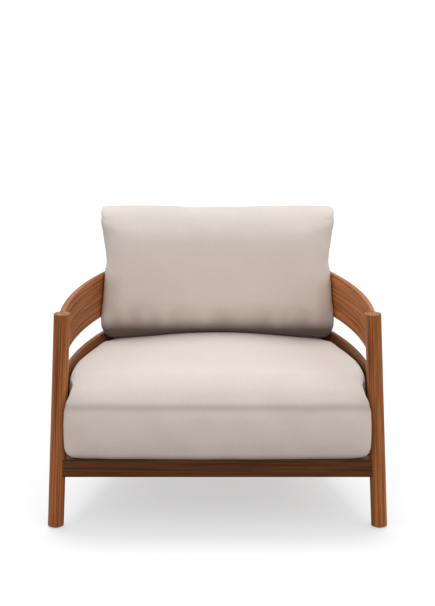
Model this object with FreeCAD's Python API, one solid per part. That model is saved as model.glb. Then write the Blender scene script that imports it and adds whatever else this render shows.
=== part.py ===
import FreeCAD, Part
import math
import os

# A low garden lounge chair in oiled hardwood with two loose cushions.
# Four leaning round posts carry two bent bands, one at arm height and one round the seat.
# Straight rails below hold a slatted deck, and the cushions lie loose on it.
# Lengths are in millimetres and angles in degrees.
# Plan sizes are measured backwards along +Y from the line between the two front posts.

# Posts
arm_height = 594.0
arm_spread = 812.0
post_diameter = 43.0
post_splay = 3.0
post_top_ease = 2.2
foot_ease = 3.0

# Foot glides
glide_diameter = 29.0
glide_height = 4.0
glide_edge = 1.2

# Bent bands
band_thickness = 12.0
band_height = 124.0
band_gap = 50.5
lower_band_height = 100.0
band_edge_ease = 2.6
band_depth = 682.0
side_straight = 40.0
side_radius = 1184.0
corner_radius = 190.0
corner_turn = 48.0

# Joinery
tenon_thickness = 8.0
tenon_shoulder = 10.0
tenon_past_axis = 6.0
tenon_end_gap = 1.0
tenon_root = 10.0
mortise_clearance = 0.2
cope_clearance = 0.1

# Rails
deck_height = 196.5
rail_height = 51.0
rail_edge_ease = 2.4
front_rail_thickness = 32.0
rail_thickness = 28.0
rail_tenon_thickness = 12.0
rail_tenon_shoulder = 9.0
rail_tenon_stop = 8.0

# Slatted deck
slat_count = 8
slat_width = 60.0
slat_thickness = 14.0
slat_end_gap = 1.0
slat_edge_ease = 2.0
cleat_width = 22.0
cleat_height = 25.0
cleat_margin = 40.0
bearer_width = 40.0
bearer_height = 28.0
bearer_tenon_length = 10.0
bearer_tenon_shoulder = 6.0

# Room round the cushions
lift_clearance = 1.5
cushion_side_gap = 4.5
rest_gap = 0.3
core_gap = 0.3

# Seat cushion
seat_overhang = 46.0
seat_front_bulge = 4.0
seat_front_round = 9000.0
seat_front_corner = 32.0
seat_boxing = 155.0
seat_seam_draw = 5.0
seat_seam_round = 12.0
seat_bottom_roll = 14.0
seat_edge_run = 50.0
seat_edge_rise = 66.0
seat_crown_run = 80.0
seat_crown_rise = 12.0
seat_core_inset = 24.0
seat_core_lift = 12.0
seat_core_rise = 30.0

# Back cushion
back_height = 354.0
back_front = 386.0
back_lean = 10.0
back_front_round = 3500.0
back_front_bulge = 8.0
back_front_corner = 24.0
back_bottom_roll = 20.0
back_top_roll = 36.0
back_top_flare = 20.0
back_top_thickness = 185.0
back_top_round = 1600.0
back_top_corner = 26.0
back_core_inset = 34.0
back_core_lift = 22.0
back_core_height = 262.0

# Angles at which a rolled edge has a section, from its side
bottom_roll_angles = (90.0, 45.0, 0.0)
seat_edge_angles = (25.0, 50.0, 75.0)
back_top_angles = (0.0, 30.0, 55.0, 78.0)

# Zips
zip_length = 440.0
zip_recess_width = 26.0
zip_recess_depth = 5.0
zip_end_gap = 1.0
zip_tape_width = 24.0
zip_tape_thickness = 1.2
zip_chain_width = 6.0
zip_chain_thickness = 1.8
zip_stop_length = 3.0
slider_length = 11.0
slider_plate = 0.9
slider_wall = 1.6
slider_gap = 0.3
pull_length = 20.0
pull_width = 5.0
pull_hole = 2.4
seat_zip_setback = 126.0
back_zip_setback = 151.0

# How far from level an edge may measure and still count as level
level_tolerance = 0.01

# Turns of the plan, and steps of the search for one of them
quarter_turn = 90.0
half_turn = 180.0
halvings = 60

# Sizes that follow from the ones above
post_radius = post_diameter / 2
half_spread = arm_spread / 2
splay_slope = math.tan(math.radians(post_splay))
lean_slope = math.tan(math.radians(back_lean))
band_half = band_thickness / 2
band_low = arm_height - band_height
lower_band_top = band_low - band_gap
lower_band_low = lower_band_top - lower_band_height
band_levels = [(band_low, arm_height), (lower_band_low, lower_band_top)]
rail_low = deck_height - rail_height
rail_middle = deck_height - rail_height / 2
slat_low = deck_height - slat_thickness
cushion_offset = band_half + cushion_side_gap
seat_low = deck_height + rest_gap
seat_seam = seat_low + seat_boxing
seat_top = seat_seam + seat_edge_rise + seat_crown_rise
back_low = seat_top + rest_gap
back_top = back_low + back_height


# Basic shapes
def point(x, y, z=0.0):
    return FreeCAD.Vector(x, y, z)


def polar(centre, radius, angle):
    turn = math.radians(angle)
    return point(centre.x + radius * math.cos(turn), centre.y + radius * math.sin(turn), centre.z)


def heading(start, end):
    return math.degrees(math.atan2(end.y - start.y, end.x - start.x))


def level_unit(start, end):
    return point(end.x - start.x, end.y - start.y).normalize()


def mirrored_point(place):
    return point(-place.x, place.y, place.z)


def mirrored(shape):
    return shape.mirror(point(0, 0), point(1, 0))


def arc_edge(centre, radius, start, end):
    middle = polar(centre, radius, (start + end) / 2)
    return Part.Arc(polar(centre, radius, start), middle, polar(centre, radius, end)).toShape()


def line_edge(start, end):
    return Part.LineSegment(start, end).toShape()


def prism(edges, low, high):
    face = Part.Face(Part.Wire(Part.__sortEdges__(edges)))
    face.translate(point(0, 0, low))
    return face.extrude(point(0, 0, high - low))


def strip(edges_at, half_width, low, high):
    """A plank of even thickness, standing on edge along a curve in plan."""
    outer = edges_at(half_width)
    inner = edges_at(-half_width)
    start = line_edge(inner[0].valueAt(inner[0].FirstParameter), outer[0].valueAt(outer[0].FirstParameter))
    end = line_edge(inner[-1].valueAt(inner[-1].LastParameter), outer[-1].valueAt(outer[-1].LastParameter))
    return prism(outer + inner + [start, end], low, high)


def beam(start, end, width, low, high):
    """A straight bar between two points in plan."""
    along = level_unit(start, end)
    across = point(-along.y, along.x) * (width / 2)
    corners = [start - across, end - across, end + across, start + across]
    flat = [point(corner.x, corner.y) for corner in corners]
    return prism(Part.makePolygon(flat + flat[:1]).Edges, low, high)


def block(length, width, low, high, middle):
    """A box with its length along X, centred over a point in plan."""
    corner = point(middle.x - length / 2, middle.y - width / 2, low)
    return Part.makeBox(length, width, high - low, corner)


def lies_at(edge, height):
    return abs(edge.BoundBox.ZMin - height) < level_tolerance


def is_level(edge):
    return edge.BoundBox.ZLength < level_tolerance


def long_edges_eased(solid, ease, shortest):
    """Takes the sharpness off the long level edges of a plank or bar."""
    return solid.makeChamfer(ease, [edge for edge in solid.Edges
                                    if is_level(edge) and edge.Length > shortest])


# Plan of the bands: tangent arcs, worked out on the right half of the chair
side_centre = point(half_spread - side_radius, side_straight)


def corner_at(turn):
    """Centre of the rear corner when the side has turned by an angle."""
    return polar(side_centre, side_radius - corner_radius, turn)


def depth_at(turn):
    """Depth of the back's middle when the side has turned by an angle."""
    centre = corner_at(turn)
    left_to_turn = math.radians(quarter_turn - corner_turn - turn)
    return centre.y + corner_radius + centre.x * math.tan(left_to_turn / 2)


def turn_for(depth):
    """The side's turn that brings the back's middle to a depth, found by halving."""
    low, high = 0.0, quarter_turn - corner_turn
    for _ in range(halvings):
        middle = (low + high) / 2
        low, high = (middle, high) if depth_at(middle) < depth else (low, middle)
    return low


side_turn = turn_for(band_depth)
corner_centre = corner_at(side_turn)
left_corner_centre = mirrored_point(corner_centre)
back_angle = side_turn + corner_turn
back_radius = corner_radius + corner_centre.x / math.cos(math.radians(back_angle))
back_centre = point(0, polar(corner_centre, corner_radius - back_radius, back_angle).y)
rear_post_angle = side_turn + corner_turn / 2
seat_zip_depth = band_depth - cushion_offset - seat_zip_setback
back_zip_depth = band_depth - cushion_offset - back_zip_setback

# Each post is its top point and the way that it leans
front_post = (point(half_spread, 0, arm_height), point(1, 0))
rear_post = (polar(corner_centre, corner_radius, rear_post_angle) + point(0, 0, arm_height),
             polar(point(0, 0), 1.0, rear_post_angle))

# The chair's own frame starts on the floor, under the middle of its length and width
front_reach = seat_overhang + seat_front_bulge
to_centre = point(0, (front_reach - band_depth - band_half) / 2)


# Round posts that lean outwards
def post_axis(post, height):
    """The point of a post's axis at a height."""
    top, outward = post
    place = top + outward * ((arm_height - height) * splay_slope)
    return point(place.x, place.y, height)


def post_round(post, grow=0.0):
    """The plain leaning cylinder of a post, running past both ends."""
    low = post_axis(post, -post_diameter)
    high = post_axis(post, arm_height + post_diameter)
    return Part.makeCylinder(post_radius + grow, (high - low).Length, low, high - low)


def level_post(post):
    """The post cut level at its foot and at arm height, with eased ends."""
    foot = post_axis(post, glide_height)
    size = 2 * (post_diameter + arm_height * splay_slope)
    solid = post_round(post).common(block(size, size, glide_height, arm_height, foot))
    for height, ease in ((arm_height, post_top_ease), (glide_height, foot_ease)):
        rim = [edge for edge in solid.Edges if is_level(edge) and lies_at(edge, height)]
        solid = solid.makeChamfer(ease, rim)
    return solid


def glide(post):
    """A flat foot glide: a disc under the post, with an eased rim on the floor."""
    foot = post_axis(post, glide_height)
    disc = Part.makeCylinder(glide_diameter / 2, glide_height, point(foot.x, foot.y))
    return disc.makeChamfer(glide_edge, [edge for edge in disc.Edges if is_level(edge) and lies_at(edge, 0)])


# Curves that the bands follow
def arm_curve(offset):
    x = half_spread + offset
    return [line_edge(point(x, 0), point(x, side_straight)),
            arc_edge(side_centre, side_radius + offset, 0, side_turn),
            arc_edge(corner_centre, corner_radius + offset, side_turn, rear_post_angle)]


def back_curve(offset):
    radius = corner_radius + offset
    return [arc_edge(corner_centre, radius, rear_post_angle, back_angle),
            arc_edge(back_centre, back_radius + offset, back_angle, half_turn - back_angle),
            arc_edge(left_corner_centre, radius, half_turn - back_angle, half_turn - rear_post_angle)]


def corner_turn_of(length):
    """The angle of the corner arc that a length along it takes."""
    return math.degrees(length / corner_radius)


def front_tenon(half_width, low, high, grow):
    """The tenon of an arm piece in the front post."""
    def curve(offset):
        x = half_spread + offset
        return [line_edge(point(x, -tenon_past_axis - grow), point(x, post_radius + tenon_root))]
    return strip(curve, half_width, low, high)


def corner_tenon(side, half_width, low, high, grow):
    """A tenon along the corner arc, ending short of the rear post's axis."""
    near = rear_post_angle + side * corner_turn_of(tenon_end_gap - grow)
    far = rear_post_angle + side * corner_turn_of(post_radius + tenon_root)

    def curve(offset):
        return [arc_edge(corner_centre, corner_radius + offset, near, far)]
    return strip(curve, half_width, low, high)


def band_tenons(low, high, grow=0.0):
    """Tenons of one band: arm piece in the front post, arm and back pieces in the rear post."""
    sizes = (tenon_thickness / 2 + grow, low + tenon_shoulder - grow, high - tenon_shoulder + grow, grow)
    return front_tenon(*sizes), corner_tenon(-1, *sizes), corner_tenon(1, *sizes)


def band_plank(curve, low, high):
    return long_edges_eased(strip(curve, band_half, low, high), band_edge_ease, 2 * band_thickness)


def band_pieces(low, high):
    """The right arm piece and the back piece of one band, coped to the posts and tenoned."""
    at_front = post_round(front_post, cope_clearance)
    at_rear = post_round(rear_post, cope_clearance)
    front_end, arm_end, back_end = band_tenons(low, high)
    arm = band_plank(arm_curve, low, high).cut(at_front).cut(at_rear)
    back = band_plank(back_curve, low, high).cut(at_rear).cut(mirrored(at_rear))
    return arm.fuse([front_end, arm_end]), back.fuse([back_end, mirrored(back_end)])


# Straight rails between the posts
front_rail_end = post_axis(front_post, rail_middle)
rear_rail_end = post_axis(rear_post, rail_middle)
side_along = level_unit(front_rail_end, rear_rail_end)
side_outward = point(side_along.y, -side_along.x)
deck_front = front_rail_thickness / 2
deck_rear = rear_rail_end.y - rail_thickness / 2


def rail_tenons(start, end, grow=0.0):
    """Both tenons of a rail, as one bar that runs through it."""
    stop = level_unit(start, end) * (rail_tenon_stop - grow)
    return beam(start + stop, end - stop, rail_tenon_thickness + 2 * grow,
                rail_low + rail_tenon_shoulder - grow, deck_height - rail_tenon_shoulder + grow)


def rail(start, end, thickness, neighbours):
    """A rail with eased edges, scribed to its neighbours and tenoned into the posts."""
    solid = long_edges_eased(beam(start, end, thickness, rail_low, deck_height),
                             rail_edge_ease, 2 * rail_height)
    for neighbour in neighbours:
        solid = solid.cut(neighbour)
    return solid.fuse(rail_tenons(start, end)).removeSplitter()


# Slatted deck
def deck_half_width(y, inset):
    """Half the deck's width at a depth, measured to a line inside the side rails' inner faces."""
    slope = (rear_rail_end.x - front_rail_end.x) / rear_rail_end.y
    return front_rail_end.x + slope * y - (rail_thickness / 2 + inset) / side_along.y


slat_gap = (deck_rear - deck_front - slat_count * slat_width) / (slat_count + 1)
slat_starts = [deck_front + slat_gap + number * (slat_width + slat_gap) for number in range(slat_count)]


def slat(start):
    """One slat, cut at both ends to the line of the side rails."""
    end = start + slat_width
    front_x = deck_half_width(start, slat_end_gap)
    rear_x = deck_half_width(end, slat_end_gap)
    corners = [point(-front_x, start), point(front_x, start), point(rear_x, end), point(-rear_x, end)]
    solid = prism(Part.makePolygon(corners + corners[:1]).Edges, slat_low, deck_height)
    return long_edges_eased(solid, slat_edge_ease, 2 * slat_width)


def cleat():
    """The right-hand ledge under the slats' ends, on the side rail's inner face."""
    inward = side_outward * (-rail_thickness / 2 - cleat_width / 2)
    start = front_rail_end + side_along * cleat_margin + inward
    end = rear_rail_end - side_along * cleat_margin + inward
    return beam(start, end, cleat_width, slat_low - cleat_height, slat_low)


def bearer_tenons(grow=0.0):
    reach = bearer_tenon_length + grow
    return beam(point(0, deck_front - reach), point(0, deck_rear + reach),
                bearer_width - 2 * bearer_tenon_shoulder + 2 * grow,
                slat_low - bearer_height + bearer_tenon_shoulder - grow,
                slat_low - bearer_tenon_shoulder + grow)


def bearer():
    """The middle bar from front rail to back rail, with a stub tenon at each end."""
    bar = beam(point(0, deck_front), point(0, deck_rear), bearer_width, slat_low - bearer_height, slat_low)
    return bar.fuse(bearer_tenons()).removeSplitter()


# Cushion outlines: crowned front, sides and rear along the bands, round corners between
def touching_circle(first, first_radius, second, second_radius, corner):
    """Centre of the corner circle that touches two larger circles from inside, on the right."""
    reach = first_radius - corner
    link = second - first
    along = (reach ** 2 - (second_radius - corner) ** 2 + link.Length ** 2) / (2 * link.Length)
    aside = math.sqrt(reach ** 2 - along ** 2)
    unit = level_unit(first, second)
    return first + unit * along + point(-unit.y, unit.x) * aside


def cushion_outline(level, front, rear, side_inset):
    """A level outline from (place, round, corner) of its front and rear, and its sides' inset."""
    front_y, front_round, front_corner = front
    rear_y, rear_round, rear_corner = rear
    side_round = side_radius - cushion_offset - side_inset
    front_centre = point(0, front_y + front_round)
    rear_centre = point(0, rear_y - rear_round)
    nose = touching_circle(front_centre, front_round, side_centre, side_round, front_corner)
    hip = touching_circle(side_centre, side_round, rear_centre, rear_round, rear_corner)
    turns = (heading(front_centre, nose), heading(side_centre, nose), heading(side_centre, hip),
             heading(rear_centre, hip))
    right = [(nose, front_corner, turns[0], turns[1]), (side_centre, side_round, turns[1], turns[2]),
             (hip, rear_corner, turns[2], turns[3])]
    left = [(mirrored_point(centre), radius, half_turn - end, half_turn - start)
            for centre, radius, start, end in right]
    spans = [(front_centre, front_round, -half_turn - turns[0], turns[0])] + right
    spans += [(rear_centre, rear_round, turns[3], half_turn - turns[3])] + left[::-1]
    wire = Part.Wire([arc_edge(*span) for span in spans])
    wire.translate(point(0, 0, level))
    return wire


def rear_along_band(inset):
    """Place, round and corner of a cushion's rear that follows the bands at an even distance."""
    inward = cushion_offset + inset
    return band_depth - inward, back_radius - inward, corner_radius - inward


def post_notches(posts):
    """Room for the posts, so that a cushion lifts straight out between them."""
    notches = []
    for top, _ in posts:
        notch = Part.makeCylinder(post_radius + lift_clearance, arm_height + lift_clearance,
                                  point(top.x, top.y))
        notches += [notch, mirrored(notch)]
    return notches


def stacked(outlines):
    return Part.makeLoft(outlines, True, True)


def roll(angle, run, rise):
    """How far a rounded edge has drawn in, and risen, at an angle from its side."""
    turn = math.radians(angle)
    return run * (1 - math.cos(turn)), rise * math.sin(turn)


# Seat cushion: a boxed form with a drawn-in seam and a crowned top
def seat_outline(level, inset, bulge=0.0):
    front = (inset - seat_overhang - bulge, seat_front_round, seat_front_corner + inset / 2)
    return cushion_outline(level, front, rear_along_band(inset), inset)


def seat_form():
    """The whole seat cushion, from its underside to the top of its crown."""
    outlines = []
    for angle in bottom_roll_angles:
        draw, drop = roll(angle, seat_bottom_roll, seat_bottom_roll)
        outlines.append(seat_outline(seat_low + seat_bottom_roll - drop, draw))
    swell_low = seat_low + seat_bottom_roll
    swell_high = seat_seam - seat_seam_round
    outlines.append(seat_outline((swell_low + swell_high) / 2, 0, seat_front_bulge))
    outlines.append(seat_outline(swell_high, 0))
    outlines.append(seat_outline(seat_seam, seat_seam_draw))
    for angle in seat_edge_angles:
        draw, rise = roll(angle, seat_edge_run, seat_edge_rise)
        outlines.append(seat_outline(seat_seam + rise, seat_seam_draw + draw))
    crown_inset = seat_seam_draw + seat_edge_run + seat_crown_run
    outlines.append(seat_outline(seat_top, crown_inset))
    return stacked(outlines)


def seat_core(grow=0.0):
    """The foam block inside the quilted cover."""
    outline = seat_outline(0, seat_core_inset - grow)
    return prism(outline.Edges, seat_low + seat_core_lift - grow, seat_seam + seat_core_rise + grow)


def seat_cover():
    form = seat_form().cut(post_notches([front_post, rear_post]))
    return form.cut([zip_recess(seat_low, seat_zip_depth), seat_core(core_gap)])


# Back cushion: leans back, narrow between the arms, wider and rolled over at the top
def back_face(level):
    """Depth of the cushion's leaning front at a height."""
    return back_front + (level - back_low) * lean_slope


def back_outline(level, inset, bulge=0.0):
    share = min(max((level - arm_height) / (back_top - back_top_roll - arm_height), 0.0), 1.0)
    front = (back_face(level) + inset - bulge, back_front_round, back_front_corner)
    free_rear = (back_face(level) + back_top_thickness - inset, back_top_round, back_top_corner)
    rear = [low + share * (high - low) for low, high in zip(rear_along_band(inset), free_rear)]
    return cushion_outline(level, front, rear, inset - share * back_top_flare)


def back_form():
    """The whole back cushion, from its rolled underside to its rolled top."""
    outlines = []
    for angle in bottom_roll_angles:
        draw, drop = roll(angle, back_bottom_roll, back_bottom_roll)
        outlines.append(back_outline(back_low + back_bottom_roll - drop, draw))
    outlines.append(back_outline(arm_height, 0, back_front_bulge))
    for angle in back_top_angles:
        draw, rise = roll(angle, back_top_roll, back_top_roll)
        outlines.append(back_outline(back_top - back_top_roll + rise, draw))
    return stacked(outlines)


def back_core(grow=0.0):
    """The filled inner cushion inside the quilted cover, leaning like the cushion's front."""
    low = back_low + back_core_lift - grow
    high = back_low + back_core_lift + back_core_height + grow
    front = (back_face(low) + back_core_inset - grow, back_front_round, back_front_corner)
    rear = (back_face(low) + back_top_thickness - back_core_inset + grow, back_top_round, back_top_corner)
    face = Part.Face(cushion_outline(low, front, rear, back_core_inset - grow))
    return face.extrude(point(0, back_face(high) - back_face(low), high - low))


def back_cover():
    form = back_form().cut(post_notches([rear_post]))
    return form.cut([zip_recess(back_low, back_zip_depth), back_core(core_gap)])


# Zips, sunk in a recess across the underside of each cushion
def zip_recess(level, depth):
    return block(zip_length, zip_recess_width, level - zip_recess_depth, level + zip_recess_depth,
                 point(0, depth))


def zip_chain(level, depth):
    """The tape on the recess's roof, the chain under it and a stop at each end of the chain."""
    middle = point(0, depth)
    roof = level + zip_recess_depth
    tape_low = roof - zip_tape_thickness
    chain_low = tape_low - zip_chain_thickness
    length = zip_length - 2 * zip_end_gap
    pieces = [block(length, zip_chain_width, chain_low, tape_low, middle)]
    for side in (-1, 1):
        place = middle + point(side * (length - zip_stop_length) / 2, 0)
        pieces.append(block(zip_stop_length, zip_chain_width + 2 * slider_wall, chain_low, tape_low, place))
    return block(length, zip_tape_width, tape_low, roof, middle).fuse(pieces).removeSplitter()


def zip_slider(level, depth):
    """A slider that wraps the chain from below, with its pull lying flat, at the closed end."""
    tape_low = level + zip_recess_depth - zip_tape_thickness
    plate_high = tape_low - zip_chain_thickness - slider_gap
    plate_low = plate_high - slider_plate
    inner = zip_chain_width / 2 + slider_gap
    middle = point(zip_stop_length + zip_end_gap + slider_gap + (slider_length - zip_length) / 2, depth)
    body = block(slider_length, 2 * (inner + slider_wall), plate_low, tape_low - slider_gap, middle)
    body = body.cut(block(2 * slider_length, 2 * inner, plate_high, tape_low, middle))
    pull_middle = middle + point((slider_length + pull_length) / 2, 0)
    pull = block(pull_length, pull_width, plate_low, plate_high, pull_middle)
    hole_place = pull_middle + point(pull_length / 2 - pull_width / 2, 0, plate_low - slider_plate)
    hole = Part.makeCylinder(pull_hole / 2, 3 * slider_plate, hole_place)
    return body.fuse(pull.cut(hole)).removeSplitter()


# Timber frame
def frame_nodes():
    nodes = {}
    front_left_end = mirrored_point(front_rail_end)
    rear_left_end = mirrored_point(rear_rail_end)
    at_front = post_round(front_post, cope_clearance)
    at_rear = post_round(rear_post, cope_clearance)

    side_mortises = rail_tenons(front_rail_end, rear_rail_end, mortise_clearance)
    front_mortises = [rail_tenons(front_left_end, front_rail_end, mortise_clearance), side_mortises]
    rear_mortises = [rail_tenons(rear_left_end, rear_rail_end, mortise_clearance), side_mortises]
    for name, (low, high) in zip(("arm_band", "lower_band"), band_levels):
        arm, nodes[name + "_back"] = band_pieces(low, high)
        nodes[name + "_right"] = arm
        nodes[name + "_left"] = mirrored(arm)
        front_end, arm_end, back_end = band_tenons(low, high, mortise_clearance)
        front_mortises.append(front_end)
        rear_mortises += [arm_end, back_end]

    at_front_rail = beam(front_left_end, front_rail_end, front_rail_thickness + 2 * cope_clearance,
                         rail_low, deck_height)
    side_rail = rail(front_rail_end, rear_rail_end, rail_thickness, [at_front, at_rear, at_front_rail])
    right_hand = {"front_leg": level_post(front_post).cut(front_mortises),
                  "rear_leg": level_post(rear_post).cut(rear_mortises),
                  "side_rail": side_rail, "slat_cleat": cleat()}
    for name, shape in right_hand.items():
        nodes[name + "_right"] = shape
        nodes[name + "_left"] = mirrored(shape)

    bearer_mortise = bearer_tenons(mortise_clearance)
    front_posts = [at_front, mirrored(at_front)]
    rear_posts = [at_rear, mirrored(at_rear)]
    front_rail = rail(front_left_end, front_rail_end, front_rail_thickness, front_posts)
    nodes["front_rail"] = front_rail.cut(bearer_mortise)
    back_rail = rail(rear_left_end, rear_rail_end, rail_thickness, rear_posts)
    nodes["back_rail"] = back_rail.cut(bearer_mortise)
    nodes["deck_bearer"] = bearer()
    for number, start in enumerate(slat_starts, 1):
        nodes["deck_slat_%d" % number] = slat(start)

    glides = [glide(front_post), glide(rear_post)]
    nodes["foot_glides"] = Part.makeCompound(glides + [mirrored(disc) for disc in glides])
    return nodes


# Loose cushions
def cushion_nodes():
    nodes = {"seat_cover": seat_cover(), "seat_foam": seat_core(),
             "back_cover": back_cover(), "back_filling": back_core()}
    for name, level, depth in (("seat", seat_low, seat_zip_depth), ("back", back_low, back_zip_depth)):
        nodes[name + "_zip"] = zip_chain(level, depth)
        nodes[name + "_zip_slider"] = zip_slider(level, depth)
    return nodes


os.makedirs("parts", exist_ok=True)
for node, solid in {**frame_nodes(), **cushion_nodes()}.items():
    solid.translate(to_centre)
    solid.exportStep("parts/" + node + ".step")
    box = solid.BoundBox
    print("%-20s %2d solids  %8.1f cm3  x %.1f..%.1f  y %.1f..%.1f  z %.1f..%.1f  valid %s" % (
        node, len(solid.Solids), solid.Volume / 1000, box.XMin, box.XMax, box.YMin, box.YMax,
        box.ZMin, box.ZMax, solid.isValid()))
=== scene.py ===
# %% [markdown]
# # A garden lounge chair
# The chair is a low armchair in oiled hardwood. Four round posts lean outwards and carry two bent
# bands, and two loose cushions lie on a slatted deck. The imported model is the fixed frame, so
# its bodies and sizes are loaded first and the looks are built round them.

# %% Load the frame
import math

import bpy
import numpy as np
from mathutils import Matrix, Vector


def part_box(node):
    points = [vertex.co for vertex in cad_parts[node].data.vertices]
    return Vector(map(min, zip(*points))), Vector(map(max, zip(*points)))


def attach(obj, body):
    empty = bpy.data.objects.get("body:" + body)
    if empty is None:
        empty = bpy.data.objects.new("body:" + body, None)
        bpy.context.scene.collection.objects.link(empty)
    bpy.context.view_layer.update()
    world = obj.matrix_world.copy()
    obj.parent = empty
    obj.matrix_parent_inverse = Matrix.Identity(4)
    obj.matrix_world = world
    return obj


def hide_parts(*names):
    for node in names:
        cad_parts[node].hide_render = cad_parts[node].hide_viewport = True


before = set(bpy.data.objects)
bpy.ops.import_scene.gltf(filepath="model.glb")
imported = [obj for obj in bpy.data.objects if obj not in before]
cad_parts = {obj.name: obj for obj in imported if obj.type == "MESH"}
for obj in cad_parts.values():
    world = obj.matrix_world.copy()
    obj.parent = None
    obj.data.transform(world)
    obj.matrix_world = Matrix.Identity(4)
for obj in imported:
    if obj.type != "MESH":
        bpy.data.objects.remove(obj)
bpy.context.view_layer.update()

# %% [markdown]
# ## The chair's own sizes
# Every visual piece lies where its solid lies, so it needs the same few driving sizes: the posts'
# height, spread and lean, and the plan of the bands. They are real sizes in metres. Sizes that the
# loaded solids hold, such as the floor line of the front posts, are measured from them.

# %% Sizes of the frame
arm_height = 0.594
half_spread = 0.406
post_radius = 0.0215
post_slope = math.tan(math.radians(3.0))
glide_height = 0.004
band_thickness = 0.012
side_straight = 0.040
side_radius = 1.184
side_turn = math.radians(26.0)
corner_radius = 0.190
corner_turn = math.radians(48.0)

front_line = sum(corner.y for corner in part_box("front_leg_left")) / 2
side_centre = Vector((half_spread - side_radius, front_line + side_straight))
side_end = Vector((math.cos(side_turn), math.sin(side_turn)))
corner_centre = side_centre + (side_radius - corner_radius) * side_end
back_turn = side_turn + corner_turn
back_radius = corner_radius + corner_centre.x / math.cos(back_turn)
back_centre = Vector((0.0, corner_centre.y + (corner_radius - back_radius) * math.sin(back_turn)))
rear_turn = side_turn + corner_turn / 2
rear_outward = Vector((math.cos(rear_turn), math.sin(rear_turn)))
rear_top = corner_centre + corner_radius * rear_outward
print("front posts' line at", round(front_line, 4), "back radius", round(back_radius, 4))

# %% [markdown]
# ## Camera
# The photo looks straight at the front from a little above. A long lens keeps the posts nearly
# upright. The camera has no shift, so that it also frames the other views in the middle.

# %% Camera at the photo's viewing angle
camera_distance = 4.0
camera_height = 1.657
camera_dip = 14.5
camera_data = bpy.data.cameras.new("photo_camera")
camera_data.lens = 94.19
camera_data.sensor_width = 36.0
camera = bpy.data.objects.new("photo_camera", camera_data)
camera.location = (0.0, front_line - camera_distance, camera_height)
camera.rotation_euler = (math.radians(90.0 - camera_dip), 0.0, 0.0)
bpy.context.collection.objects.link(camera)
bpy.context.scene.camera = camera
bpy.context.scene.view_settings.view_transform = "Standard"
print("camera at", tuple(round(value, 3) for value in camera.location))

# %% [markdown]
# ## Studio
# The chair stands on a plain white floor with a faint soft shadow. One wide floor fills the whole
# picture. An even pale world gives most of the light, so that hollows darken softly. A light from
# above and weaker ones from the right and the front give the direction. A little glow keeps the floor's
# shadow as light as in a product photo, while the floor throws less light back up than it shows.

# %% Floor, world and lamps
def shader_input(shader, name, value):
    shader.inputs[name].default_value = value


def new_material(name):
    material = bpy.data.materials.new(name)
    material.use_nodes = True
    return material, material.node_tree, material.node_tree.nodes["Principled BSDF"]


def add_node(tree, kind, links=None, **values):
    """A node with its plain settings, and its input sockets linked or filled by name or number."""
    node = tree.nodes.new(kind)
    for key, value in values.items():
        setattr(node, key, value)
    for socket, source in (links or {}).items():
        target = node.inputs[socket]
        if isinstance(source, bpy.types.NodeSocket):
            tree.links.new(source, target)
        else:
            target.default_value = source
    return node


def sun_lamp(name, towards, strength, softness, color):
    lamp = bpy.data.lights.new(name, "SUN")
    lamp.energy = strength
    lamp.color = color
    lamp.angle = math.radians(softness)
    holder = bpy.data.objects.new(name, lamp)
    holder.rotation_euler = Vector(towards).to_track_quat("-Z", "Y").to_euler()
    bpy.context.collection.objects.link(holder)


floor_size = 120.0
world_light = 0.85
world_seen_white = 1.1
bpy.ops.mesh.primitive_plane_add(size=floor_size)
floor = bpy.context.object
floor.name = "studio_floor"
floor_material, floor_tree, floor_shader = new_material("studio_floor")
shader_input(floor_shader, "Base Color", (0.43, 0.43, 0.43, 1.0))
shader_input(floor_shader, "Roughness", 0.9)
shader_input(floor_shader, "Specular IOR Level", 0.0)
shader_input(floor_shader, "Emission Color", (1.0, 1.0, 1.0, 1.0))
shader_input(floor_shader, "Emission Strength", 0.53)
floor_bounce = add_node(floor_tree, "ShaderNodeBsdfDiffuse", {"Color": (0.36, 0.33, 0.31, 1.0)})
seen = add_node(floor_tree, "ShaderNodeLightPath").outputs["Is Camera Ray"]
floor_mix = add_node(floor_tree, "ShaderNodeMixShader",
                     {0: seen, 1: floor_bounce.outputs[0], 2: floor_shader.outputs[0]})
floor_tree.links.new(floor_mix.outputs[0], floor_tree.nodes["Material Output"].inputs["Surface"])
floor.data.materials.append(floor_material)

world = bpy.data.worlds.new("studio_world")
bpy.context.scene.world = world
world.use_nodes = True
world_shader = world.node_tree.nodes["Background"]
shader_input(world_shader, "Color", (1.0, 1.0, 1.0, 1.0))
world_seen = add_node(world.node_tree, "ShaderNodeLightPath").outputs["Is Camera Ray"]
world_strength = add_node(world.node_tree, "ShaderNodeMapRange",
                          {"Value": world_seen, "To Min": world_light, "To Max": world_seen_white})
world.node_tree.links.new(world_strength.outputs["Result"], world_shader.inputs["Strength"])
sun_lamp("top_light", (0.03, -0.28, -1.0), 1.38, 28.0, (0.90, 0.95, 1.0))
sun_lamp("right_light", (-0.90, 0.30, -0.75), 0.18, 30.0, (1.0, 0.98, 0.95))
sun_lamp("front_light", (-0.35, 1.0, -0.30), 0.36, 60.0, (1.0, 1.0, 1.0))
print("studio ready")

# %% [markdown]
# ## Timber finish
# Oiled hardwood shows long grain lines, darker streaks and short open pores, all stretched along
# the piece. One shader group makes that pattern from a coordinate whose first axis runs along the
# grain, so that every piece can feed it its own direction. It puts out a colour, a roughness
# and a height, and each material keeps its own shader.

# %% Shared shader group: grain
def group_tree(name, inputs, outputs):
    tree = bpy.data.node_groups.new(name, "ShaderNodeTree")
    for label, kind, value in inputs:
        socket = tree.interface.new_socket(label, in_out="INPUT", socket_type=kind)
        if value is not None:
            socket.default_value = value
    for label, kind in outputs:
        tree.interface.new_socket(label, in_out="OUTPUT", socket_type=kind)
    return tree, tree.nodes.new("NodeGroupInput"), tree.nodes.new("NodeGroupOutput")


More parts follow.
